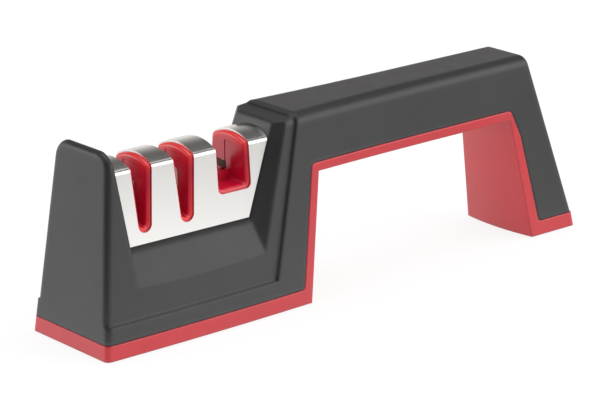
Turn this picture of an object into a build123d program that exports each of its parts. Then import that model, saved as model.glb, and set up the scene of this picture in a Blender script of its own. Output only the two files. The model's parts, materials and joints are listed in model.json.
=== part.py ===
from build123d import *
import math
import os

# Pull-through knife sharpener with a bridge handle, in millimetres.
# X runs along the length from the sharpening head to the foot, Y across it, Z up.
# The object is drawn from the head's end at the table, and moved at the end so that
# the origin is the middle of its footprint.

# Overall form
overall_length = 206.0
head_length = 83.0
foot_length = 21.3
waist_run = 5.0
handle_run = 55.0
end_wall_height = 63.0
handle_height = 62.1
handle_rise = 1.0
finger_clearance = 42.0
finger_clearance_rise = 0.6
side_draft_angle = 5.0
end_lean_angle = 5.7
tower_lean_angle = 7.3
leg_inner_angle = 10.2
leg_outer_angle = 17.87
foot_band_angle = 11.5
foot_band_step = 0.4
grip_radius = 88.0

# Half widths at the table, seen from above
head_end_half_width = 19.6
head_middle_half_width = 19.55
waist_half_width = 17.9
handle_half_width = 16.26

# Edge rounding of the housings
end_corner_radius = 1.9
leg_corner_radius = 2.0
end_wall_top_radius = 6.0
handle_top_radius = 3.8
top_edge_band = 1.6

# Walls, and where the red moulding meets the black one
wall = 2.4
seam_gap = 0.2
base_band_height = 4.9
arch_strip_width = 3.1
tower_strip_top_width = 2.4
tower_strip_foot_width = 3.4
leg_strip_knee_width = 2.7
leg_strip_foot_width = 4.2
leg_knee_drop = 9.4
strip_corner_radius = 1.6
tray_floor = 2.2
rib_thickness = 1.4
rib_height = 3.0
rib_clearance = 0.25
handle_webs = 4
handle_web_depth = 9.0
pad_standing = 0.4

# Recessed side panel of the head
panel_depth = 0.9
panel_bottom = 10.4
panel_right_bottom = 69.0
panel_right_slope = 0.242

# Sloped scoop under the steel, given where it meets the steel and the panel
scoop_bottom = 20.7
scoop_left_flare = 0.35
shoulder_height = 31.4
block_left_bottom = 13.0
block_left_slope = 0.155
block_right_bottom = 62.9
block_right_slope = 0.396
ramp_bottom = 65.3
ramp_slope = 0.298

# Nose of the tower above the steel
nose_front_height = 60.0
nose_back = 79.9
nose_back_height = 61.2
nose_ledge = 0.35
nose_run = 2.2

# Sharpening block: an arched section, the same from end to end
block_half_width = 11.0
block_crown_height = 57.7
block_crown_radius = 18.0
block_shoulder_radius = 2.0
block_floor = 24.0
sheet = 0.6
sheet_clearance = 0.08
pocket_clearance = 0.15
cover_bottom = 28.0
module_base_thickness = 2.0
deck_thickness = 3.4
seat_gap = 0.05

# Slots, centre and size at the steel
coarse_slot_x = 22.15
fine_slot_x = 38.6
scissor_slot_x = 57.85
knife_slot_bottom = 34.8
knife_slot_bottom_half = 2.65
knife_slot_taper = 0.083
scissor_slot_bottom = 40.7
scissor_slot_half = 6.6
scissor_slot_radius = 1.9
lip_width = 1.35
lip_radius = 1.2

# Holders: two halves that clamp a pair of blades on the middle plane
holder_half_width = 6.8
holder_half_thickness = 3.9
holder_top = 54.6
holder_clearance = 0.15
holder_slot_relief = 0.2
holder_joint_gap = 0.05
scissor_holder_half_width = 7.2
scissor_holder_end_wall = 1.3
scissor_holder_top = 54.0
scissor_floor_thickness = 1.4
scissor_web_half_thickness = 1.5
scissor_web_top = 45.3

# Blades, rods and the scissor plate
blade_angle = 20.0
blade_thickness = 2.0
blade_width = 3.2
blade_length = 15.0
blade_crossing_height = 42.0
blade_below_crossing = 5.5
blade_clearance = 0.04
rod_radius = 1.5
rod_angle = 18.0
rod_length = 16.5
rod_below_crossing = 6.5
plate_angle = 30.0
plate_half_thickness = 1.1
plate_end_height = 2.45
plate_end_top = 5.8
plate_reach = 10.3
plate_tip_x = 61.6

# Screws
thread_clearance = 0.05
screw_head_bevel = 0.3
screw_clearance = 0.2
module_screw_radius = 1.4
module_screw_head_radius = 2.7
module_screw_head_height = 1.8
module_screw_bite = 5.5
module_screw_spread = 7.3
housing_screw_radius = 1.5
housing_screw_head_radius = 2.8
housing_screw_head_height = 2.0
housing_screw_length = 10.0
screw_seat_thickness = 1.6
boss_radius = 3.4
seat_boss_radius = 4.4
head_boss_inset = 17.5
head_boss_far = 60.0
foot_boss_inset = 9.6

# Pads
pad_thickness = 1.2
pad_inset = 6.0
pad_corner_radius = 4.0
pad_clearance = 0.15
foot_pad_inset = 4.0

# Overrun of every cutting tool
over = 5.0


reach = head_end_half_width + over


def rise(angle):
    return math.tan(math.radians(angle))


def extrude_across(face_xz, half_depth):
    return extrude(face_xz, amount=half_depth, both=True)


def polygon_xz(points):
    return Plane.XZ * make_face(Polyline(*points, close=True))


def polygon_yz(points):
    return Plane.YZ * make_face(Polyline(*points, close=True))


def mirrored(shape):
    return mirror(shape, about=Plane.XZ)


# Outer form of both housings together

def front_curves(inset):
    """The front edge of the plan, two tangent arcs and a line, from past the head to past the foot."""
    waist = head_length + waist_run
    head_arc = ThreePointArc(
        (-over, inset - head_end_half_width),
        (head_length / 2, inset - head_middle_half_width),
        (waist, inset - waist_half_width),
    )
    handle_point = (waist + handle_run, inset - handle_half_width)
    handle_arc = TangentArc(head_arc @ 1, handle_point, tangent=head_arc % 1)
    end, along = handle_arc @ 1, handle_arc % 1
    foot_line = Line(end, end + along * ((overall_length + over - end.X) / along.X))
    return head_arc, handle_arc, foot_line


def drafted_block(inset=0.0):
    """The plan outline raised with draft, its sides moved in by an inset."""
    front = front_curves(inset)
    back = [mirror(curve, about=Plane.XZ) for curve in front]
    near = front[0] @ 0
    far = front[-1] @ 1
    ends = [Line(far, (far.X, -far.Y)), Line((near.X, -near.Y), near)]
    plan = make_face([*front, *back, *ends])
    return extrude(plan, amount=end_wall_height + over, taper=side_draft_angle)


def block_start_x(height):
    return block_left_bottom - (height - shoulder_height) * block_left_slope


def block_end_x(height):
    return block_right_bottom + (height - shoulder_height) * block_right_slope


def tower_inner_x(height):
    return head_length + height * rise(tower_lean_angle)


def leg_inner_x(height):
    return overall_length - foot_length - height * rise(leg_inner_angle)


def slanted(face, lean, height):
    """A plan face raised along a leaning direction, above and below the table."""
    length_per_height = math.sqrt(1 + lean * lean)
    up = extrude(face, amount=height * length_per_height, dir=(lean, 0, 1))
    down = extrude(face, amount=over * length_per_height, dir=(-lean, 0, -1))
    return up + down


def sag(half_chord):
    return grip_radius - math.sqrt(grip_radius * grip_radius - half_chord * half_chord)


def arch_tool():
    """The finger opening, whose two upright faces bulge towards the fingers."""
    middle = head_length + (overall_length - foot_length - head_length) / 2
    top = finger_clearance + finger_clearance_rise + over
    tower_x = head_length + sag(waist_half_width)
    leg_x = overall_length - foot_length - sag(handle_half_width)
    tower_face = ThreePointArc((tower_x - sag(reach), -reach), (tower_x, 0), (tower_x - sag(reach), reach))
    leg_face = ThreePointArc((leg_x + sag(reach), -reach), (leg_x, 0), (leg_x + sag(reach), reach))
    ends = (tower_face @ 0, tower_face @ 1, leg_face @ 0, leg_face @ 1)
    far_from_tower = Polyline(ends[1], ends[3], ends[2], ends[0])
    far_from_leg = Polyline(ends[3], ends[1], ends[0], ends[2])
    tower_side = slanted(make_face([tower_face, far_from_tower]), rise(tower_lean_angle), top)
    leg_side = slanted(make_face([leg_face, far_from_leg]), -rise(leg_inner_angle), top)
    under = polygon_xz([
        (0, -over),
        (0, finger_clearance),
        (middle, finger_clearance + finger_clearance_rise / 2),
        (overall_length, finger_clearance + finger_clearance_rise),
        (overall_length, -over),
    ])
    return tower_side & leg_side & extrude_across(under, reach)


def pocket_tool():
    """The room for the sharpening block, open at the top."""
    top = end_wall_height + over
    side = polygon_xz([
        (block_start_x(block_floor), block_floor),
        (block_end_x(block_floor), block_floor),
        (block_end_x(top), top),
        (block_start_x(top), top),
    ])
    half = block_half_width + pocket_clearance
    half_top = half - (top - shoulder_height) * rise(side_draft_angle)
    section = polygon_yz([
        (-half, block_floor),
        (half, block_floor),
        (half, shoulder_height),
        (half_top, top),
        (-half_top, top),
        (-half, shoulder_height),
    ])
    return extrude_across(side, reach) & extrude(section, amount=overall_length)


def at_level(near, far, level):
    """The point of a line that lies at a level, measured out across the draft."""
    near_level = near.Z * rise(side_draft_angle) - near.Y
    far_level = far.Z * rise(side_draft_angle) - far.Y
    return near + (far - near) * ((level - near_level) / (far_level - near_level))


def scoop_tool():
    """The ruled scoop on the front side, from the steel down and out to the panel."""
    top = end_wall_height + over
    draft = rise(side_draft_angle)
    steel_y = block_half_width + pocket_clearance
    left_y = head_middle_half_width - panel_depth - scoop_bottom * draft
    right_y = (head_middle_half_width + waist_half_width) / 2 - panel_depth - scoop_bottom * draft
    steel_rise = top - shoulder_height
    panel_rise = top - scoop_bottom
    panel_left = block_start_x(scoop_bottom) - scoop_left_flare
    panel_left_top = block_start_x(top) - scoop_left_flare
    turn = (right_y - left_y) / (ramp_bottom - panel_left)
    steel = [
        Vector(block_start_x(shoulder_height), -steel_y, shoulder_height),
        Vector(block_end_x(shoulder_height), -steel_y, shoulder_height),
        Vector(block_end_x(top), steel_rise * draft - steel_y, top),
        Vector(block_start_x(top), steel_rise * draft - steel_y, top),
    ]
    ramp_top = ramp_bottom + panel_rise * ramp_slope
    panel = [
        Vector(panel_left, -left_y, scoop_bottom),
        Vector(ramp_bottom, -right_y, scoop_bottom),
        Vector(ramp_top, panel_rise * draft - right_y - turn * (ramp_top - ramp_bottom), top),
        Vector(panel_left_top, panel_rise * draft - left_y - turn * (panel_left_top - panel_left), top),
    ]
    level = steel_y + shoulder_height * draft
    inner = [at_level(a, b, level - block_shoulder_radius) for a, b in zip(steel, panel)]
    outer = [at_level(a, b, head_end_half_width + over) for a, b in zip(steel, panel)]
    tool = loft([make_face(Polyline(*inner, close=True)), make_face(Polyline(*outer, close=True))], ruled=True)
    return tool


def along_top(shape):
    """The two long rows of edges along the top of the sides."""
    top = shape.bounding_box().max.Z - top_edge_band
    upper = shape.edges().filter_by(lambda edge: edge.center().Z > top)
    return upper.filter_by(lambda edge: edge.bounding_box().size.X > edge.bounding_box().size.Y)


def round_end_face(face, radius):
    """Round the rim of an end face, apart from its edge on the table."""
    rim = face.edges().filter_by(lambda edge: edge.center().Z > base_band_height)
    return fillet(rim, radius)


def end_part(inset):
    """The head's end, where the wall stands above the steel."""
    split = (block_left_bottom + block_right_bottom) / 2
    end_top = end_wall_height * rise(end_lean_angle)
    side = polygon_xz([(0, 0), (end_top, end_wall_height), (split, end_wall_height), (split, 0)])
    form = drafted_block(inset) & extrude_across(side, reach)
    form = fillet(along_top(form), end_wall_top_radius)
    return round_end_face(form.faces().sort_by(Axis.X)[0], end_corner_radius)


def bridge_part(inset, far_bottom, far_angle):
    """The rest of the head, the handle and the foot under one long top."""
    split = (block_left_bottom + block_right_bottom) / 2
    far_height = handle_height + handle_rise
    far_top = far_bottom - far_height * rise(far_angle)
    side = polygon_xz([(split, 0), (split, handle_height), (nose_back, handle_height), (far_top, far_height),
                       (far_bottom, 0)])
    form = drafted_block(inset) & extrude_across(side, reach)
    form = fillet(along_top(form), handle_top_radius)
    return round_end_face(form.faces().sort_by(Axis.X)[-1], leg_corner_radius)


def nose_cut():
    """Everything over the nose of the tower, down to its slope and the ledge behind it."""
    top = end_wall_height + over
    split = (block_left_bottom + block_right_bottom) / 2
    side = polygon_xz([
        (split, nose_front_height),
        (block_end_x(nose_front_height), nose_front_height),
        (nose_back, nose_back_height),
        (nose_back, nose_back_height + nose_ledge),
        (nose_back + nose_run, handle_height),
        (nose_back + nose_run, top),
        (split, top),
    ])
    return extrude_across(side, reach)


def panel_prism():
    """The part of the head whose sides lie deeper, seen from the side."""
    top = end_wall_height + over
    right_top = panel_right_bottom + (top - panel_bottom) * panel_right_slope
    side = polygon_xz([
        (-over, panel_bottom),
        (panel_right_bottom, panel_bottom),
        (right_top, top),
        (-over, top),
    ])
    return extrude_across(side, reach)


def outer_form(far_bottom, far_angle):
    """The outside of the whole body with its panels, scoop, block room and finger opening."""
    full = end_part(0.0) + bridge_part(0.0, far_bottom, far_angle) - nose_cut()
    deeper = end_part(panel_depth) + bridge_part(panel_depth, far_bottom, far_angle)
    form = full - (panel_prism() - deeper)
    scoop = scoop_tool()
    form = form - pocket_tool() - scoop - mirrored(scoop)
    return form - arch_tool()


def red_region(gap):
    """Side view of the red moulding: its base bands and the strip round the finger opening."""
    strip_top = finger_clearance + arch_strip_width
    strip_top_far = strip_top + finger_clearance_rise
    knee = strip_top_far - leg_knee_drop
    half_band = base_band_height / 2
    outline = FilletPolyline(
        (-over, half_band),
        (-over, base_band_height),
        (tower_inner_x(base_band_height) - tower_strip_foot_width, base_band_height),
        (tower_inner_x(strip_top) - tower_strip_top_width, strip_top),
        (leg_inner_x(strip_top_far) + seam_gap, strip_top_far),
        (leg_inner_x(knee) + leg_strip_knee_width, knee),
        (leg_inner_x(base_band_height) + leg_strip_foot_width, base_band_height),
        (overall_length + over, base_band_height),
        (overall_length + over, half_band),
        radius=strip_corner_radius,
    )
    floor = Polyline(outline @ 1, (overall_length + over, -over), (-over, -over), outline @ 0)
    region = make_face([outline, floor])
    return Plane.XZ * offset(region, gap, kind=Kind.INTERSECTION)


def end_line(height):
    """Inner face of the end wall."""
    return wall + height * rise(end_lean_angle)


def ramp_line(height):
    """Inner face of the wall behind the ramp."""
    return ramp_bottom + (height - scoop_bottom) * ramp_slope + wall


def far_line(height):
    """Inner face of the leg's outer wall."""
    return far_base() - height * rise(leg_outer_angle) - wall


def cavity_outline(growth):
    """Side view of the hollow inside the black moulding, open towards the red one."""
    deck = block_floor - deck_thickness
    handle_ceiling = handle_height - wall
    core_top = (block_floor + end_wall_height) / 2
    outline = Polyline(
        (end_line(-over), -over),
        (end_line(core_top), core_top),
        (block_start_x(core_top) - wall, core_top),
        (block_start_x(deck) - wall, deck),
        (ramp_line(deck), deck),
        (ramp_line(handle_ceiling), handle_ceiling),
        (far_line(handle_ceiling), handle_ceiling),
        (far_line(-over), -over),
        close=True,
    )
    return Plane.XZ * offset(make_face(outline), growth, kind=Kind.INTERSECTION)


def far_base():
    """Where the leg's outer line would meet the table, inside the foot band."""
    band_face = overall_length - base_band_height * rise(foot_band_angle)
    return band_face - foot_band_step + base_band_height * rise(leg_outer_angle)


def cavity(inset):
    """The hollow, its side walls at an inset from the outside."""
    return drafted_block(inset) & extrude_across(cavity_outline(0), reach)


def slab(face_xz, low, high):
    """A side-view face given thickness between two places across the body."""
    return extrude(Pos(0, high, 0) * face_xz, amount=high - low, dir=(0, -1, 0))


def post(x, y, bottom, top, radius):
    return Pos(x, y, bottom) * Cylinder(radius, top - bottom, align=(Align.CENTER, Align.CENTER, Align.MIN))


# Places of the screws

def housing_screw_places():
    head = [(head_boss_inset, 0), (head_boss_far, 0)]
    foot = [(overall_length - foot_boss_inset, 0)]
    return head, foot


def module_screw_places():
    """Between the holders, one in front and one behind."""
    front = ((coarse_slot_x + fine_slot_x) / 2, -module_screw_spread)
    back = ((fine_slot_x + scissor_slot_x) / 2, module_screw_spread)
    return [front, back]


def pad_recess_depth():
    return pad_thickness - pad_standing


def screw_seat_height():
    return pad_recess_depth() + seat_gap + housing_screw_head_height


def boss_foot():
    return screw_seat_height() + screw_seat_thickness


# Black moulding

def upper_housing():
    """Head, handle and leg in one shell, with its deck, webs and screw bosses."""
    shell = outer_form(far_base(), leg_outer_angle) - extrude_across(red_region(seam_gap), reach)
    shell = shell - cavity(wall)
    shell = shell + housing_bosses() + handle_cross_webs()
    head, foot = housing_screw_places()
    for x, y in head + foot:
        top = screw_seat_height() + housing_screw_length + screw_clearance
        shell = shell - post(x, y, 0, top, housing_screw_radius + thread_clearance)
    for x, y in module_screw_places():
        shell = shell - post(x, y, 0, block_floor + over, module_screw_radius + screw_clearance)
    return shell


def inside_of_walls():
    """Room up to the middle of the walls, to join webs and bosses to them."""
    half_wall = wall / 2
    return drafted_block(half_wall) & extrude_across(cavity_outline(half_wall), reach)


def housing_bosses():
    head, foot = housing_screw_places()
    bosses = Part()
    for x, y in head + foot:
        bosses = bosses + post(x, y, boss_foot() + seat_gap, end_wall_height, boss_radius)
    return bosses & inside_of_walls()


def handle_cross_webs():
    """Cross webs under the top of the handle."""
    near = tower_inner_x(finger_clearance)
    spacing = (leg_inner_x(finger_clearance) - near) / (handle_webs + 1)
    bottom = handle_height - wall - handle_web_depth
    webs = Part()
    for count in range(handle_webs):
        x = near + spacing * (count + 1)
        side = polygon_xz([
            (x, bottom),
            (x + rib_thickness, bottom),
            (x + rib_thickness, end_wall_height),
            (x, end_wall_height),
        ])
        webs = webs + extrude_across(side, reach)
    return webs & inside_of_walls()


# Red moulding

def lower_housing():
    """Base trays of the head and the foot, joined by the strip that lines the finger opening."""
    body = outer_form(overall_length, foot_band_angle) & extrude_across(red_region(0), reach)
    body = body - (drafted_block(wall) & (tray_room(head_tray_span()) + tray_room(foot_tray_span())))
    body = body + seam_ribs()
    head, foot = housing_screw_places()
    for x, y in head + foot:
        body = body + post(x, y, 0, boss_foot(), seat_boss_radius)
    for plan in (head_pad_plan(pad_clearance), foot_pad_plan(pad_clearance)):
        body = body - extrude(plan, amount=pad_recess_depth())
    for x, y in head + foot:
        body = body - post(x, y, 0, screw_seat_height(), housing_screw_head_radius + screw_clearance)
        body = body - post(x, y, 0, boss_foot() + over, housing_screw_radius + screw_clearance)
    return body


def head_tray_span():
    return end_line(0), tower_inner_x(tray_floor) - tower_strip_foot_width


def foot_tray_span():
    return leg_inner_x(tray_floor) + leg_strip_foot_width, far_line(base_band_height)


def tray_room(span):
    left, right = span
    side = polygon_xz([
        (left, tray_floor),
        (right, tray_floor),
        (right, base_band_height + over),
        (left, base_band_height + over),
    ])
    return extrude_across(side, reach)


def seam_ribs():
    """Ribs along the seam that reach up inside the black walls."""
    outer = wall + rib_clearance
    room = drafted_block(outer) & extrude_across(cavity_outline(-rib_clearance), reach)
    ribs = room & extrude_across(red_region(rib_height), reach)
    return ribs - drafted_block(outer + rib_thickness) - arch_tool()


def rounded_plan(left, right, half, radius):
    return Pos((left + right) / 2, 0) * RectangleRounded(right - left, half + half, radius)


def head_pad_plan(margin):
    half = waist_half_width - pad_inset + margin
    return rounded_plan(pad_inset - margin, head_length - pad_inset + margin, half, pad_corner_radius + margin)


def foot_pad_plan(margin):
    left = overall_length - foot_length + foot_pad_inset - margin
    right = overall_length - foot_pad_inset + margin
    return rounded_plan(left, right, handle_half_width - pad_inset + margin, pad_corner_radius + margin)


def pad(plan):
    """A rubber pad that stands out below the red moulding."""
    return Pos(0, 0, -pad_standing) * extrude(plan, amount=pad_thickness - seat_gap)


# Sharpening block

def arch_section(inset, bottom):
    """Leaning sides under a flat crown, with rounded shoulders."""
    top = block_crown_height + over
    half = block_half_width - inset
    half_top = half - (top - shoulder_height) * rise(side_draft_angle)
    radius = block_crown_radius - inset
    centre = block_crown_height - block_crown_radius
    sides = make_face(Polyline(
        (-half, bottom),
        (half, bottom),
        (half, shoulder_height),
        (half_top, top),
        (-half_top, top),
        (-half, shoulder_height),
        close=True,
    ))
    below = Pos(0, (centre + bottom) / 2) * Rectangle(radius + radius, centre - bottom)
    section = sides & (Pos(0, centre) * Circle(radius) + below)
    shoulders = section.vertices().sort_by(Axis.Y)[-2:]
    return Plane.YZ * fillet(shoulders, block_shoulder_radius - inset)


def block_side(bottom, gap):
    top = block_crown_height + over
    return extrude_across(polygon_xz([
        (block_start_x(bottom) + gap, bottom),
        (block_end_x(bottom) - gap, bottom),
        (block_end_x(top) - gap, top),
        (block_start_x(top) + gap, top),
    ]), reach)


def knife_slot(x, margin):
    """A slot with a round bottom, slightly wider towards the top."""
    half = knife_slot_bottom_half - margin
    centre = knife_slot_bottom + knife_slot_bottom_half
    top = block_crown_height + over
    half_top = half + (top - centre) * knife_slot_taper
    bottom = ThreePointArc((x - half, centre), (x, centre - half), (x + half, centre))
    sides = Polyline((x + half, centre), (x + half_top, top), (x - half_top, top), (x - half, centre))
    return extrude_across(Plane.XZ * make_face([bottom, sides]), reach)


def scissor_slot(margin):
    """A wide slot with rounded lower corners."""
    left = scissor_slot_x - scissor_slot_half + margin
    right = scissor_slot_x + scissor_slot_half - margin
    bottom = scissor_slot_bottom + margin
    top = block_crown_height + over
    path = FilletPolyline((left, top), (left, bottom), (right, bottom), (right, top),
                          radius=scissor_slot_radius - margin / 2)
    return extrude_across(Plane.XZ * make_face([path, Line((right, top), (left, top))]), reach)


def slots(margin):
    return knife_slot(coarse_slot_x, margin) + knife_slot(fine_slot_x, margin) + scissor_slot(margin)


def steel_cover():
    """Sheet steel bent over the block, with a cut-out for each slot."""
    solid = extrude(arch_section(0, cover_bottom), amount=head_length)
    hollow = extrude(arch_section(sheet, cover_bottom - over), amount=head_length)
    return (solid - hollow - slots(0)) & block_side(cover_bottom, pocket_clearance)


def liner_bottom():
    return block_floor + seat_gap + module_base_thickness + seat_gap


def slot_liner():
    """Red block under the steel, whose rounded lips show inside the cut-outs."""
    core = extrude(arch_section(sheet + sheet_clearance, liner_bottom()), amount=head_length)
    flange_top = cover_bottom - seat_gap
    flange = polygon_yz([
        (-block_half_width, liner_bottom()),
        (block_half_width, liner_bottom()),
        (block_half_width, flange_top),
        (-block_half_width, flange_top),
    ])
    body = (core + extrude(flange, amount=head_length)) & block_side(liner_bottom(), pocket_clearance)
    body = body - slots(lip_width)
    body = fillet(slot_mouth_edges(body), lip_radius)
    body = body - holder_rooms()
    for x, y in module_screw_places():
        top = liner_bottom() + module_screw_bite + screw_clearance
        body = body - post(x, y, 0, top, module_screw_radius + thread_clearance)
    return body


def slot_mouth_edges(body):
    """Edges where the slots break through the outside of the block."""
    left = coarse_slot_x - knife_slot_bottom_half - lip_width
    right = scissor_slot_x + scissor_slot_half
    inner = body.edges().filter_by(lambda edge: left < edge.center().X < right)
    mouths = inner.filter_by(lambda edge: edge.center().Z > shoulder_height)
    crown = block_crown_height - block_shoulder_radius - block_shoulder_radius
    return mouths.filter_by(lambda edge: edge.bounding_box().size.Z > seat_gap or edge.center().Z > crown)


# Holders of the blades

def rectangle_xz(left, right, bottom, top):
    return polygon_xz([(left, bottom), (right, bottom), (right, top), (left, top)])


def holder_outline(x, margin):
    half = holder_half_width + margin
    return rectangle_xz(x - half, x + half, liner_bottom() - margin, holder_top + margin)


def scissor_outline(top, margin):
    """Side view of the scissor holder, whose end follows the leaning end of the block."""
    bottom = liner_bottom() - margin
    left = scissor_slot_x - scissor_holder_half_width - margin
    right = scissor_slot_x + scissor_holder_half_width + margin
    end_bottom = block_end_x(bottom) - scissor_holder_end_wall + margin
    bend = bottom + (right - end_bottom) / block_right_slope
    if bend < top:
        end = [(right, bend), (right, top)]
    else:
        end = [(end_bottom + (top - bottom) * block_right_slope, top)]
    return polygon_xz([(left, bottom), (end_bottom, bottom), *end, (left, top)])


def scissor_block_top():
    return scissor_slot_bottom + lip_width - scissor_floor_thickness - holder_clearance


def holder_rooms():
    """Pockets in the red block, open below, that the holders slide up into."""
    half = holder_half_thickness + holder_clearance
    web_half = scissor_web_half_thickness + holder_clearance
    rooms = Part()
    for x in (coarse_slot_x, fine_slot_x):
        rooms = rooms + slab(holder_outline(x, holder_clearance), -half, half)
    block = scissor_outline(scissor_block_top() + holder_clearance, holder_clearance)
    web = scissor_outline(scissor_holder_top + holder_clearance, holder_clearance)
    return rooms + slab(block, -half, half) + slab(web, -web_half, web_half)


def leaning_outline(x, angle, below, length, width, margin):
    """Side view of a bar whose inner edge passes through a slot's crossing point."""
    along = Vector(rise(angle), 1).normalized()
    out = Vector(1, -rise(angle)).normalized()
    crossing = Vector(x, blade_crossing_height)
    start = crossing - along * (below + margin) - out * margin
    end = crossing + along * (length - below + margin) - out * margin
    across = out * (width + margin + margin)
    return [start, end, end + across, start + across]


def blade(x, side, margin=0.0):
    """A hard plate leaning outwards, on the front for side 1 and the back for side -1."""
    points = leaning_outline(0, blade_angle, blade_below_crossing, blade_length, blade_width, margin)
    face = polygon_xz([(x + side * point.X, point.Y) for point in points])
    inner = 0 if margin else seat_gap
    outer = seat_gap + blade_thickness + margin
    return slab(face, -outer, -inner) if side > 0 else slab(face, inner, outer)


def rod(x, side, margin=0.0):
    """A round ceramic rod leaning outwards, with its groove where there is a margin."""
    points = leaning_outline(0, rod_angle, rod_below_crossing, rod_length, rod_radius + rod_radius, margin)
    start = (points[0] + points[3]) / 2
    end = (points[1] + points[2]) / 2
    y = -side * (rod_radius + seat_gap)
    foot = Vector(x + side * start.X, y, start.Y)
    head = Vector(x + side * end.X, y, end.Y)
    path = Plane(foot, z_dir=head - foot)
    body = extrude(path * Circle(rod_radius + margin), amount=(head - foot).length)
    if margin:
        face = polygon_xz([(x + side * point.X, point.Y) for point in points])
        body = body + (slab(face, y, 0) if side > 0 else slab(face, 0, y))
    return body


def screw(radius, length, head_radius, head_height):
    """A screw standing on its head, whose rim is bevelled."""
    head = post(0, 0, 0, head_height, head_radius)
    rim = head.edges().sort_by(Axis.Z)[0]
    return chamfer(rim, screw_head_bevel) + post(0, 0, head_height, head_height + length, radius)


def knife_holder(x, side, make_blade):
    """One half of a knife stage's holder, with a bed for its blade."""
    gap = holder_joint_gap / 2
    face = holder_outline(x, 0)
    if side > 0:
        half = slab(face, -holder_half_thickness, -gap)
    else:
        half = slab(face, gap, holder_half_thickness)
    half = half - knife_slot(x, lip_width - holder_slot_relief)
    return half - make_blade(x, side, blade_clearance)


def scissor_plate(margin=0.0):
    """The sloping plate of the scissor stage, with an upright end."""
    left = plate_tip_x - plate_reach - margin
    right = plate_tip_x + margin
    climb = (right - left) * rise(plate_angle)
    top = blade_crossing_height + plate_end_top + margin
    bottom = top - plate_end_height - margin - margin
    half = plate_half_thickness + margin
    side = polygon_xz([(right, bottom), (right, top), (left, top + climb), (left, bottom + climb)])
    return slab(side, -half, half)


def scissor_holder():
    """Holder of the scissor plate: a block below and a web up to the plate."""
    block = slab(scissor_outline(scissor_block_top(), 0), -holder_half_thickness, holder_half_thickness)
    web = slab(scissor_outline(scissor_holder_top, 0), -scissor_web_half_thickness, scissor_web_half_thickness)
    reach_x = scissor_slot_half - lip_width + holder_slot_relief
    notch = rectangle_xz(scissor_slot_x - reach_x, scissor_slot_x + reach_x, scissor_web_top, holder_top + over)
    return block + web - extrude_across(notch, reach) - scissor_plate(blade_clearance)


def module_base():
    """Plate under the block that keeps the holders in their pockets."""
    bottom = block_floor + seat_gap
    face = polygon_yz([
        (-block_half_width, bottom),
        (block_half_width, bottom),
        (block_half_width, bottom + module_base_thickness),
        (-block_half_width, bottom + module_base_thickness),
    ])
    plate = extrude(face, amount=head_length) & block_side(bottom, pocket_clearance)
    for x, y in module_screw_places():
        plate = plate - post(x, y, 0, block_floor + over, module_screw_radius + screw_clearance)
    return plate


def module_screws():
    """Screws up through the deck and the base plate into the red block."""
    deck = block_floor - deck_thickness
    length = liner_bottom() + module_screw_bite - deck
    one = screw(module_screw_radius, length, module_screw_head_radius, module_screw_head_height)
    bottom = deck - seat_gap - module_screw_head_height
    return [Pos(x, y, bottom) * one for x, y in module_screw_places()]


def housing_screws(places):
    one = screw(housing_screw_radius, housing_screw_length, housing_screw_head_radius, housing_screw_head_height)
    bottom = pad_recess_depth()
    return [Pos(x, y, bottom) * one for x, y in places]


def pieces():
    """Every separate piece by name, as one solid or as a group of equal solids."""
    head, foot = housing_screw_places()
    return {
        "upper_housing": upper_housing(),
        "lower_housing": lower_housing(),
        "steel_cover": steel_cover(),
        "slot_liner": slot_liner(),
        "scissor_plate": scissor_plate(),
        "scissor_holder": scissor_holder(),
        "coarse_holder": knife_holder(coarse_slot_x, 1, blade),
        "coarse_cap": knife_holder(coarse_slot_x, -1, blade),
        "coarse_blade_left": blade(coarse_slot_x, -1),
        "coarse_blade_right": blade(coarse_slot_x, 1),
        "fine_holder": knife_holder(fine_slot_x, 1, rod),
        "fine_cap": knife_holder(fine_slot_x, -1, rod),
        "fine_rod_left": rod(fine_slot_x, -1),
        "fine_rod_right": rod(fine_slot_x, 1),
        "module_base": module_base(),
        "module_screws": module_screws(),
        "head_screws": housing_screws(head),
        "foot_screw": housing_screws(foot),
        "head_pad": pad(head_pad_plan(0)),
        "foot_pad": pad(foot_pad_plan(0)),
    }


# The origin is the middle of the footprint, on the table under the pads
place = Pos(-overall_length / 2, 0, pad_standing)
os.makedirs("parts", exist_ok=True)
for name, shape in pieces().items():
    group = Compound(children=shape) if isinstance(shape, list) else shape
    export_step(place * group, f"parts/{name}.step")
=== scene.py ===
import json

import bpy
from mathutils import Matrix, Vector

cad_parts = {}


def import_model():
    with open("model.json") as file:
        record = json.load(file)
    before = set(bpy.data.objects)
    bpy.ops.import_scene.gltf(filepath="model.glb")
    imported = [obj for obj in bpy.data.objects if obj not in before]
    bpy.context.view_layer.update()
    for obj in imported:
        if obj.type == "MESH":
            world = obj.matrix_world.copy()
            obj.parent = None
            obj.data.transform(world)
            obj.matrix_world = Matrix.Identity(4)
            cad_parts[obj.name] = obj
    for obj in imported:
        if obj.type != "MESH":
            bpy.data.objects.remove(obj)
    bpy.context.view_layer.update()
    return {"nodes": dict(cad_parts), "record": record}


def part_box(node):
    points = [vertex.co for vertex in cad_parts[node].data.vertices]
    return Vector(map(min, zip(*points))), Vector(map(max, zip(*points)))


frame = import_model()
nodes = frame["nodes"]

# Camera, solved from the photograph: its place in metres, its three axes, its lens and how far it sees
CAMERA_AT = Vector((-0.5672, -0.6571, 0.3009))
CAMERA_BACK = Vector((-0.6168, -0.7271, 0.3013))
CAMERA_RIGHT = Vector((0.7626, -0.6469, 0.0))
CAMERA_UP = Vector((0.1949, 0.2298, 0.9535))
LENS_MM = 166.57
SENSOR_MM = 36.0
SEES_FROM = 0.01
SEES_TO = 20

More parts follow.
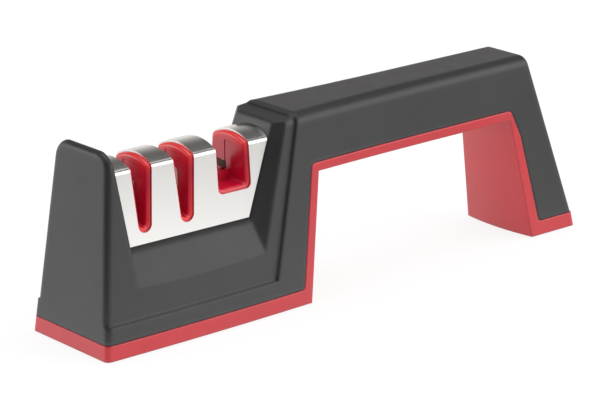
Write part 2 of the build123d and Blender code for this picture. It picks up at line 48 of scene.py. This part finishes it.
# Colours, linear
BLACK = (0.015, 0.015, 0.015, 1)
BLACK_LIGHT = (0.020, 0.020, 0.020, 1)
RED = (0.64, 0.012, 0.024, 1)
RED_DEEP = (0.60, 0.009, 0.020, 1)
# Slot red: its crimson hue is the plastic's own, its darkness is painted shade inside the slots
SLOT_RED_SHADED = (0.58, 0.002, 0.030, 1)
SLOT_RED_SHADED_DEEP = (0.54, 0.001, 0.027, 1)
# Lip red: a painted highlight where the slots open
LIP_HIGHLIGHT_RED = (0.84, 0.022, 0.026, 1)
STEEL = (0.805, 0.79, 0.77, 1)
STEEL_DARK = (0.78, 0.765, 0.745, 1)
DARK_CERAMIC = (0.06, 0.05, 0.045, 1)
DARK_CERAMIC_LIGHT = (0.11, 0.09, 0.08, 1)
GREY_PLASTIC = (0.10, 0.10, 0.105, 1)
GREY_PLASTIC_LIGHT = (0.13, 0.13, 0.135, 1)
CARBIDE = (0.60, 0.60, 0.61, 1)
CARBIDE_LIGHT = (0.68, 0.68, 0.69, 1)
WHITE_CERAMIC = (0.74, 0.72, 0.68, 1)
WHITE_CERAMIC_LIGHT = (0.80, 0.79, 0.76, 1)
SCREW = (0.55, 0.55, 0.56, 1)
SCREW_LIGHT = (0.65, 0.65, 0.66, 1)
RUBBER = (0.022, 0.022, 0.022, 1)
RUBBER_LIGHT = (0.032, 0.032, 0.032, 1)
FLOOR_GREY = (0.58, 0.58, 0.58, 1)
FLOOR_GREY_LIGHT = (0.6, 0.6, 0.6, 1)

# Moulded pieces: slow changes of tone, a fine speckle in the surface, and an uneven sheen
TONE_SCALE = 60
TONE_DETAIL = 3
TONE_SPAN = (0.35, 0.65)
SPECKLE_DETAIL = 2
SPECKLE_STRENGTH = 0.35
SHEEN_SCALE = 220
SHEEN_DETAIL = 2
SHEEN_CHANGE = 0.04

# Brushed pieces: streaks in tone, in height (depth in metres) and in sheen
STREAK_DETAIL = 4
STREAK_SPAN = (0.25, 0.75)
STREAK_STRENGTH = 0.03
STREAK_DEPTH = 0.00001
STREAK_SHEEN_CHANGE = 0.03

# Edges of plastic that look rounded, in metres
EDGE_RADIUS = 0.001
HOUSING_EDGE_RADIUS = 0.002
EDGE_SAMPLES = 8

# Painted highlight on the lips of the slots: how deep below the block's sides and crown their painted bright
# red begins and is full, in metres
BLOCK_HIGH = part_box("steel_cover")[1]
CROWN_RADIUS = 0.018
SIDE_LIP_FROM = 0.0025
SIDE_LIP_FULL = 0.0010
CROWN_LIP_FROM = 0.0040
CROWN_LIP_FULL = 0.0005

# Floor: its half width in metres, how pale the camera sees it, and how bright reflections see it along x
FLOOR_HALF = 4.0
FLOOR_ROUGHNESS = 0.9
FLOOR_TONE_SCALE = 3
FLOOR_TONE_DETAIL = 2
FLOOR_WHITENING = 0.7
FLOOR_WHITE = 1.2
MIRRORED_FLOOR_X = (-0.25, 0.25)
MIRRORED_FLOOR_LEVELS = [(0.0, 0.95), (0.48, 1.4), (0.95, 0.70)]
DARK_CORNER = (-0.77, -0.64, 0)
DARK_CORNER_LEVELS = [(0.12, 1.0), (0.17, 0.15)]

# Sky: its even light on the object, and how bright reflections see it by height and towards its dark side
UP = (0, 0, 1)
SKY_LIGHT = 0.85
SKY_LEVELS = [(0.0, 1.2), (0.12, 0.9), (0.28, 0.60), (0.42, 0.36), (0.58, 0.10), (0.80, 0.08), (1.0, 0.5)]
SKY_TINT = (1.0, 0.97, 0.95)
DARK_SIDE = (-0.88, -0.47, 0)
DARK_SIDE_LEVELS = [(0.45, 1.0), (0.8, 0.3)]

# Lamps: place, the point that they face, width and height, all in metres, and power in watts
LAMPS = {
    "top": ((0.05, 0.05, 1.2), (0, 0, 0), (1.2, 0.8), 5),
    "front": ((0.86, -0.91, 0.60), (0, 0, 0.03), (1.6, 0.9), 7.6),
    "left": ((-1.1, 0.9, 0.30), (0, 0, 0.03), (1.2, 0.6), 4.3),
}


# Textures

def noise(tree, scale, detail, stretch=(1, 1, 1)):
    """Noise in the object's own metres, stretched along the axes."""
    coordinates = tree.nodes.new("ShaderNodeTexCoord")
    mapping = tree.nodes.new("ShaderNodeMapping")
    mapping.inputs["Scale"].default_value = stretch
    texture = tree.nodes.new("ShaderNodeTexNoise")
    texture.inputs["Scale"].default_value = scale
    texture.inputs["Detail"].default_value = detail
    tree.links.new(coordinates.outputs["Object"], mapping.inputs["Vector"])
    tree.links.new(mapping.outputs["Vector"], texture.inputs["Vector"])
    return texture


def tint(tree, shader, texture, dark, light, span=TONE_SPAN):
    """Colour that wanders between two close tones."""
    ramp = tree.nodes.new("ShaderNodeValToRGB")
    darkest, lightest = ramp.color_ramp.elements
    darkest.position, lightest.position = span
    darkest.color = dark
    lightest.color = light
    tree.links.new(texture.outputs["Fac"], ramp.inputs["Fac"])
    tree.links.new(ramp.outputs["Color"], shader.inputs["Base Color"])


def grain(tree, shader, texture, strength, depth):
    """A fine bump from a texture."""
    bump = tree.nodes.new("ShaderNodeBump")
    bump.inputs["Strength"].default_value = strength
    bump.inputs["Distance"].default_value = depth
    tree.links.new(texture.outputs["Fac"], bump.inputs["Height"])
    tree.links.new(bump.outputs["Normal"], shader.inputs["Normal"])
    return bump


def soft_edges(tree, bump, radius):
    """Edges that catch the light as if they were rounded."""
    bevel = tree.nodes.new("ShaderNodeBevel")
    bevel.samples = EDGE_SAMPLES
    bevel.inputs["Radius"].default_value = radius
    tree.links.new(bevel.outputs["Normal"], bump.inputs["Normal"])


def vary_sheen(tree, shader, texture, roughness, change):
    """Roughness that wanders to either side of a value."""
    span = tree.nodes.new("ShaderNodeMapRange")
    span.inputs["To Min"].default_value = roughness - change
    span.inputs["To Max"].default_value = roughness + change
    tree.links.new(texture.outputs["Fac"], span.inputs["Value"])
    tree.links.new(span.outputs["Result"], shader.inputs["Roughness"])


def share_between(tree, value, start, end):
    """How far a value has come from a start to an end, from 0 to 1."""
    span = tree.nodes.new("ShaderNodeMapRange")
    span.inputs["From Min"].default_value = start
    span.inputs["From Max"].default_value = end
    tree.links.new(value, span.inputs["Value"])
    return span.outputs["Result"]


def levels(tree, value, stops, tone=(1, 1, 1)):
    """Levels of a tone by the stops that a value falls between."""
    ramp = tree.nodes.new("ShaderNodeValToRGB")
    elements = ramp.color_ramp.elements
    while len(elements) < len(stops):
        elements.new(0.5)
    for element, (place, level) in zip(elements, stops):
        element.position = place
        element.color = (level * tone[0], level * tone[1], level * tone[2], 1)
    tree.links.new(value, ramp.inputs["Fac"])
    return ramp.outputs["Color"]


def levels_along(tree, kind, direction, stops, tone=(1, 1, 1)):
    """Levels of a tone by how far a ray, or a place, lies along a direction."""
    coordinates = tree.nodes.new("ShaderNodeTexCoord")
    product = tree.nodes.new("ShaderNodeVectorMath")
    product.operation = "DOT_PRODUCT"
    product.inputs[1].default_value = direction
    tree.links.new(coordinates.outputs[kind], product.inputs[0])
    return levels(tree, product.outputs["Value"], stops, tone)


def multiplied(tree, first, second):
    """The product of two colours."""
    both = tree.nodes.new("ShaderNodeVectorMath")
    both.operation = "MULTIPLY"
    tree.links.new(first, both.inputs[0])
    tree.links.new(second, both.inputs[1])
    return both.outputs["Vector"]


# Materials

def new_material(name):
    """A node material with its tree and its shader."""
    material = bpy.data.materials.new(name)
    material.use_nodes = True
    tree = material.node_tree
    return material, tree, tree.nodes["Principled BSDF"]


def moulded(name, dark, light, roughness, speckle, depth, gloss=0.5, edge_radius=EDGE_RADIUS):
    """Moulded plastic, rubber or ceramic: a close tone, a fine speckle and an uneven sheen."""
    material, tree, shader = new_material(name)
    shader.inputs["Specular IOR Level"].default_value = gloss
    tint(tree, shader, noise(tree, TONE_SCALE, TONE_DETAIL), dark, light)
    bump = grain(tree, shader, noise(tree, speckle, SPECKLE_DETAIL), SPECKLE_STRENGTH, depth)
    if edge_radius:
        soft_edges(tree, bump, edge_radius)
    vary_sheen(tree, shader, noise(tree, SHEEN_SCALE, SHEEN_DETAIL), roughness, SHEEN_CHANGE)
    return material


def brushed(name, dark, light, roughness, streaks_by_axis):
    """Brushed metal: thin streaks in tone, height and sheen."""
    material, tree, shader = new_material(name)
    shader.inputs["Metallic"].default_value = 1.0
    streaks = noise(tree, 1, STREAK_DETAIL, streaks_by_axis)
    tint(tree, shader, streaks, dark, light, STREAK_SPAN)
    grain(tree, shader, streaks, STREAK_STRENGTH, STREAK_DEPTH)
    vary_sheen(tree, shader, streaks, roughness, STREAK_SHEEN_CHANGE)
    return material


def paint_lip_highlight(material, tone):
    """Blend to a brighter tone, a painted highlight, where the slots open in the sides and the crown of the
    block.
    """
    tree = material.node_tree
    base = tree.nodes["Principled BSDF"].inputs["Base Color"]
    place = tree.nodes.new("ShaderNodeTexCoord").outputs["Object"]

    # Distance from the middle plane
    parts = tree.nodes.new("ShaderNodeSeparateXYZ")
    outward = tree.nodes.new("ShaderNodeMath")
    outward.operation = "ABSOLUTE"
    tree.links.new(place, parts.inputs[0])
    tree.links.new(parts.outputs["Y"], outward.inputs[0])
    half_width = BLOCK_HIGH[1]
    side = share_between(tree, outward.outputs[0], half_width - SIDE_LIP_FROM, half_width - SIDE_LIP_FULL)

    # Distance from the axis of the crown's arch
    across = tree.nodes.new("ShaderNodeVectorMath")
    across.operation = "MULTIPLY_ADD"
    across.inputs[1].default_value = (0, 1, 1)
    across.inputs[2].default_value = (0, 0, CROWN_RADIUS - BLOCK_HIGH[2])
    radius = tree.nodes.new("ShaderNodeVectorMath")
    radius.operation = "LENGTH"
    tree.links.new(place, across.inputs[0])
    tree.links.new(across.outputs["Vector"], radius.inputs[0])
    lip_from = CROWN_RADIUS - CROWN_LIP_FROM
    lip_full = CROWN_RADIUS - CROWN_LIP_FULL
    crown = share_between(tree, radius.outputs["Value"], lip_from, lip_full)

    # The larger of the two shares counts
    most = tree.nodes.new("ShaderNodeMath")
    most.operation = "MAXIMUM"
    # The mix paints the highlight onto the lips
    mix = tree.nodes.new("ShaderNodeMix")
    mix.data_type = "RGBA"
    mix.inputs["B"].default_value = tone
    tree.links.new(side, most.inputs[0])
    tree.links.new(crown, most.inputs[1])
    tree.links.new(most.outputs[0], mix.inputs["Factor"])
    tree.links.new(base.links[0].from_socket, mix.inputs["A"])
    tree.links.new(mix.outputs["Result"], base)


FINISHES = {
    "black_plastic": moulded("black_plastic", BLACK, BLACK_LIGHT, roughness=0.43, speckle=2600, depth=0.00010,
                             gloss=0.70, edge_radius=HOUSING_EDGE_RADIUS),
    "red_plastic": moulded("red_plastic", RED_DEEP, RED, roughness=0.36, speckle=1800, depth=0.00002,
                           gloss=0.85),
    "grey_plastic": moulded("grey_plastic", GREY_PLASTIC, GREY_PLASTIC_LIGHT,
                            roughness=0.5, speckle=2000, depth=0.00003),
    "pad_rubber": moulded("pad_rubber", RUBBER, RUBBER_LIGHT, roughness=0.8, speckle=1500, depth=0.00006),
    "dark_abrasive": moulded("dark_abrasive", DARK_CERAMIC, DARK_CERAMIC_LIGHT,
                             roughness=0.55, speckle=3500, depth=0.00004),
    "white_ceramic": moulded("white_ceramic", WHITE_CERAMIC, WHITE_CERAMIC_LIGHT,
                             roughness=0.42, speckle=3500, depth=0.00003),
    "brushed_steel": brushed("brushed_steel", STEEL_DARK, STEEL, 0.24, (2600, 60, 60)),
    "carbide": brushed("carbide", CARBIDE, CARBIDE_LIGHT, 0.3, (300, 300, 2500)),
    "screw_steel": brushed("screw_steel", SCREW, SCREW_LIGHT, 0.32, (900, 900, 200)),
}

# Inside the slots the red plastic is glossier and a more crimson red, darkened as painted shade, with a
# painted highlight brightening it at the lips, and crisp edges
SLOT_PIECES = ("slot_liner", "coarse_holder", "coarse_cap", "fine_holder", "fine_cap", "scissor_holder")
slot_red_shaded_lit_lips = moulded("slot_red_shaded_lit_lips", SLOT_RED_SHADED_DEEP, SLOT_RED_SHADED, roughness=0.30, speckle=1800, depth=0.00002,
                   gloss=0.85, edge_radius=0)
paint_lip_highlight(slot_red_shaded_lit_lips, LIP_HIGHLIGHT_RED)

for row in frame["record"]["subparts"]:
    piece = nodes[row["node"]]
    piece.data.materials.clear()
    finish = slot_red_shaded_lit_lips if row["node"] in SLOT_PIECES else FINISHES[row["material_slot"]]
    piece.data.materials.append(finish)


# Studio

def ray_mix(tree, most, some, kind):
    """One shader for most rays and another for the rays of one kind."""
    path = tree.nodes.new("ShaderNodeLightPath")
    mix = tree.nodes.new("ShaderNodeMixShader")
    tree.links.new(path.outputs[kind], mix.inputs["Fac"])
    tree.links.new(most, mix.inputs[1])
    tree.links.new(some, mix.inputs[2])
    return mix.outputs[0]


def glow(tree, strength):
    """An even white glow."""
    light = tree.nodes.new("ShaderNodeEmission")
    light.inputs["Color"].default_value = (1, 1, 1, 1)
    light.inputs["Strength"].default_value = strength
    return light


def mirrored_glow(tree):
    """The floor as reflections see it, brightest beside the head and dark before its near corner."""
    place = tree.nodes.new("ShaderNodeTexCoord")
    parts = tree.nodes.new("ShaderNodeSeparateXYZ")
    tree.links.new(place.outputs["Object"], parts.inputs[0])
    start, end = MIRRORED_FLOOR_X
    along = levels(tree, share_between(tree, parts.outputs["X"], start, end), MIRRORED_FLOOR_LEVELS)
    near = levels_along(tree, "Object", DARK_CORNER, DARK_CORNER_LEVELS)
    light = glow(tree, 1.0)
    tree.links.new(multiplied(tree, along, near), light.inputs["Color"])
    return light.outputs[0]


def floor():
    """A wide pale floor that keeps a soft shadow, seen nearly white."""
    low, high = -FLOOR_HALF, FLOOR_HALF
    mesh = bpy.data.meshes.new("floor")
    mesh.from_pydata([(low, low, 0), (high, low, 0), (high, high, 0), (low, high, 0)], [], [(0, 1, 2, 3)])
    plane = bpy.data.objects.new("floor", mesh)
    bpy.context.scene.collection.objects.link(plane)
    material, tree, shader = new_material("floor")
    shader.inputs["Roughness"].default_value = FLOOR_ROUGHNESS
    shader.inputs["Specular IOR Level"].default_value = 0.0
    tint(tree, shader, noise(tree, FLOOR_TONE_SCALE, FLOOR_TONE_DETAIL), FLOOR_GREY, FLOOR_GREY_LIGHT)
    whitened = tree.nodes.new("ShaderNodeMixShader")
    whitened.inputs["Fac"].default_value = FLOOR_WHITENING
    tree.links.new(shader.outputs[0], whitened.inputs[1])
    tree.links.new(glow(tree, FLOOR_WHITE).outputs[0], whitened.inputs[2])
    surface = ray_mix(tree, shader.outputs[0], whitened.outputs[0], "Is Camera Ray")
    surface = ray_mix(tree, surface, mirrored_glow(tree), "Is Glossy Ray")
    tree.links.new(surface, tree.nodes["Material Output"].inputs["Surface"])
    mesh.materials.append(material)


def world():
    """Soft light all round, with a dark ring and a dark side in reflections, seen as white by the camera."""
    sky = bpy.data.worlds.new("studio")
    bpy.context.scene.world = sky
    sky.use_nodes = True
    tree = sky.node_tree
    tree.nodes.clear()
    lit = tree.nodes.new("ShaderNodeBackground")
    lit.inputs["Strength"].default_value = SKY_LIGHT
    height = levels_along(tree, "Generated", UP, SKY_LEVELS, SKY_TINT)
    side = levels_along(tree, "Generated", DARK_SIDE, DARK_SIDE_LEVELS)
    mirrored = tree.nodes.new("ShaderNodeBackground")
    tree.links.new(multiplied(tree, height, side), mirrored.inputs["Color"])
    seen = tree.nodes.new("ShaderNodeBackground")
    seen.inputs["Color"].default_value = (1, 1, 1, 1)
    surface = ray_mix(tree, lit.outputs[0], mirrored.outputs[0], "Is Glossy Ray")
    surface = ray_mix(tree, surface, seen.outputs[0], "Is Camera Ray")
    output = tree.nodes.new("ShaderNodeOutputWorld")
    tree.links.new(surface, output.inputs["Surface"])


def soft_lamp(name, at, aim, size, power):
    """A rectangular area lamp turned to a point."""
    data = bpy.data.lights.new(name, "AREA")
    data.shape = "RECTANGLE"
    data.size, data.size_y = size
    data.energy = power
    lamp = bpy.data.objects.new(name, data)
    bpy.context.scene.collection.objects.link(lamp)
    lamp.location = at
    lamp.rotation_euler = (Vector(aim) - Vector(at)).to_track_quat("-Z", "Y").to_euler()


def camera():
    """The photograph's camera."""
    data = bpy.data.cameras.new("camera")
    data.sensor_fit = "HORIZONTAL"
    data.sensor_width = SENSOR_MM
    data.lens = LENS_MM
    data.clip_start = SEES_FROM
    data.clip_end = SEES_TO
    eye = bpy.data.objects.new("camera", data)
    bpy.context.scene.collection.objects.link(eye)
    turn = Matrix((CAMERA_RIGHT, CAMERA_UP, CAMERA_BACK)).transposed().to_4x4()
    eye.matrix_world = Matrix.Translation(CAMERA_AT) @ turn
    bpy.context.scene.camera = eye


floor()
world()
camera()
for lamp_name, (at, aim, size, power) in LAMPS.items():
    soft_lamp(lamp_name, at, aim, size, power)
bpy.context.scene.view_settings.view_transform = "Standard"
